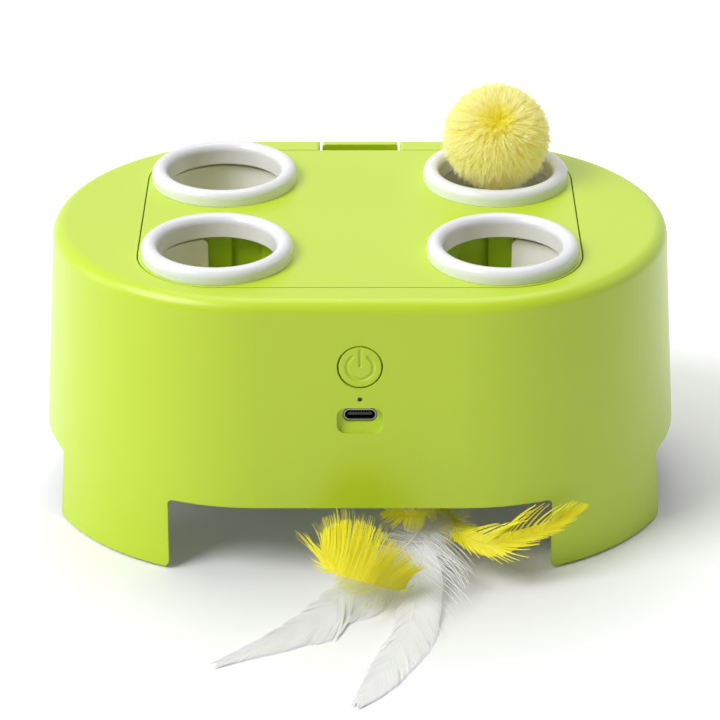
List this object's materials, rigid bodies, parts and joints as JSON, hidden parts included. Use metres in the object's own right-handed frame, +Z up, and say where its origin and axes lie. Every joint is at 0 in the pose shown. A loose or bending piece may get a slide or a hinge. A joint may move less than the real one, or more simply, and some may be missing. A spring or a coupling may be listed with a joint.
{
  "type": "pop-up cat toy",
  "caption": "Oval battery cat toy on legs: ringed holes in a lift-out lid where fur balls pop up, and a feather bunch turning beneath.",
  "frame": {"origin": "on the floor, at the middle of the housing and on the feather shaft's axis", "axes": "+X along the housing to the right seen from the button side, -Y to the button side, +Z up"},
  "size_m": [0.1812, 0.1918, 0.1091],
  "materials": {
    "green_plastic": "satin",
    "white_plastic": "satin",
    "fur": "fluffy",
    "white_feather": "matt",
    "yellow_feather": "matt",
    "steel": "satin",
    "brass": "satin",
    "rubber": "matt",
    "board": "satin",
    "cell_wrap": "satin",
    "black_plastic": "satin",
    "led": "gloss"
  },
  "bodies": {
    "base": {"housing": "green_plastic", "base_plate": "green_plastic", "base_screws": "steel", "foot_pads": "rubber", "guide_front_left": "white_plastic", "guide_front_right": "white_plastic", "guide_rear_left": "white_plastic", "guide_rear_right": "white_plastic", "guide_screws": "steel", "guide_rods": "steel", "lift_motors": "steel", "chassis": "white_plastic", "chassis_screws": "steel", "motor_straps": "steel", "strap_screws": "steel", "feather_motor": "steel", "idler_axle": "steel", "shaft_bush": "brass", "control_board": "board", "board_screws": "steel", "charging_socket": "steel", "tact_switch": "black_plastic", "status_led": "led", "light_pipe": "black_plastic", "battery_cell": "cell_wrap", "battery_tray": "white_plastic", "battery_contacts": "brass"},
    "lid": {"lid": "green_plastic", "hole_screens": "green_plastic", "ring_front_left": "white_plastic", "ring_front_right": "white_plastic", "ring_rear_left": "white_plastic", "ring_rear_right": "white_plastic"},
    "button": {"power_button": "green_plastic", "switch_plunger": "black_plastic"},
    "feather_rotor": {"feather_shaft": "steel", "shaft_gear": "white_plastic", "feather_hub": "green_plastic", "feather_ferrule": "white_plastic", "feather_white_long": "white_feather", "feather_white_side": "white_feather", "feather_yellow_left": "yellow_feather", "feather_yellow_right": "yellow_feather", "feather_yellow_small": "yellow_feather"},
    "idler": {"idler_gear": "white_plastic"},
    "pinion": {"motor_pinion": "brass", "motor_shaft": "steel"},
    "ball_front_left": {"carriage_front_left": "white_plastic", "ball_front_left": "fur"},
    "lever_front_left": {"lever_front_left": "white_plastic"},
    "ball_front_right": {"carriage_front_right": "white_plastic", "ball_front_right": "fur"},
    "lever_front_right": {"lever_front_right": "white_plastic"},
    "ball_rear_left": {"carriage_rear_left": "white_plastic", "ball_rear_left": "fur"},
    "lever_rear_left": {"lever_rear_left": "white_plastic"},
    "ball_rear_right": {"carriage_rear_right": "white_plastic", "ball_rear_right": "fur"},
    "lever_rear_right": {"lever_rear_right": "white_plastic"}
  },
  "joints": [
    {"name": "lid_lift", "type": "slide", "parent": "base", "child": "lid", "axis": [0, 0, 1], "range_m": [0, 0.045]},
    {"name": "button_press", "type": "slide", "parent": "base", "child": "button", "axis": [0, 0.9979, -0.0645], "range_m": [0, 0.0005], "stiffness_N_per_m": 400},
    {"name": "lever_front_left", "type": "hinge", "parent": "base", "child": "lever_front_left", "pos_m": [-0.0055, -0.0268, 0.0482], "axis": [0, 1, 0], "range_deg": [0, 67.9]},
    {"name": "ball_front_left_rise", "type": "slide", "parent": "base", "child": "ball_front_left", "axis": [0, 0, 1], "range_m": [0, 0.038]},
    {"name": "lever_front_right", "type": "hinge", "parent": "base", "child": "lever_front_right", "pos_m": [0.0055, -0.0268, 0.0482], "axis": [0, -1, 0], "range_deg": [0, 67.9]},
    {"name": "ball_front_right_rise", "type": "slide", "parent": "base", "child": "ball_front_right", "axis": [0, 0, 1], "range_m": [0, 0.038]},
    {"name": "lever_rear_left", "type": "hinge", "parent": "base", "child": "lever_rear_left", "pos_m": [-0.0055, 0.0268, 0.0482], "axis": [0, 1, 0], "range_deg": [0, 67.9]},
    {"name": "ball_rear_left_rise", "type": "slide", "parent": "base", "child": "ball_rear_left", "axis": [0, 0, 1], "range_m": [0, 0.038]},
    {"name": "lever_rear_right", "type": "hinge", "parent": "base", "child": "lever_rear_right", "pos_m": [0.0055, 0.0268, 0.0482], "axis": [0, -1, 0], "range_deg": [-67.9, 0]},
    {"name": "ball_rear_right_rise", "type": "slide", "parent": "base", "child": "ball_rear_right", "axis": [0, 0, 1], "range_m": [-0.038, 0]},
    {"name": "feather_spin", "type": "hinge", "parent": "base", "child": "feather_rotor", "pos_m": [0, 0, 0.02], "axis": [0, 0, 1], "continuous": true, "deforming": ["feather_white_long", "feather_white_side", "feather_yellow_left", "feather_yellow_right", "feather_yellow_small"]},
    {"name": "idler_spin", "type": "hinge", "parent": "base", "child": "idler", "pos_m": [-0.02, 0, 0.03], "axis": [0, 0, 1], "continuous": true},
    {"name": "pinion_spin", "type": "hinge", "parent": "base", "child": "pinion", "pos_m": [-0.036, 0, 0.033], "axis": [0, 0, 1], "continuous": true}
  ],
  "couplings": [
    {"joint": "ball_front_left_rise", "follows": "lever_front_left", "m_per_rad": 0.03204},
    {"joint": "ball_front_right_rise", "follows": "lever_front_right", "m_per_rad": 0.03204},
    {"joint": "ball_rear_left_rise", "follows": "lever_rear_left", "m_per_rad": 0.03204},
    {"joint": "ball_rear_right_rise", "follows": "lever_rear_right", "m_per_rad": 0.03204},
    {"joint": "idler_spin", "follows": "feather_spin", "ratio": -4},
    {"joint": "pinion_spin", "follows": "feather_spin", "ratio": 12}
  ]
}
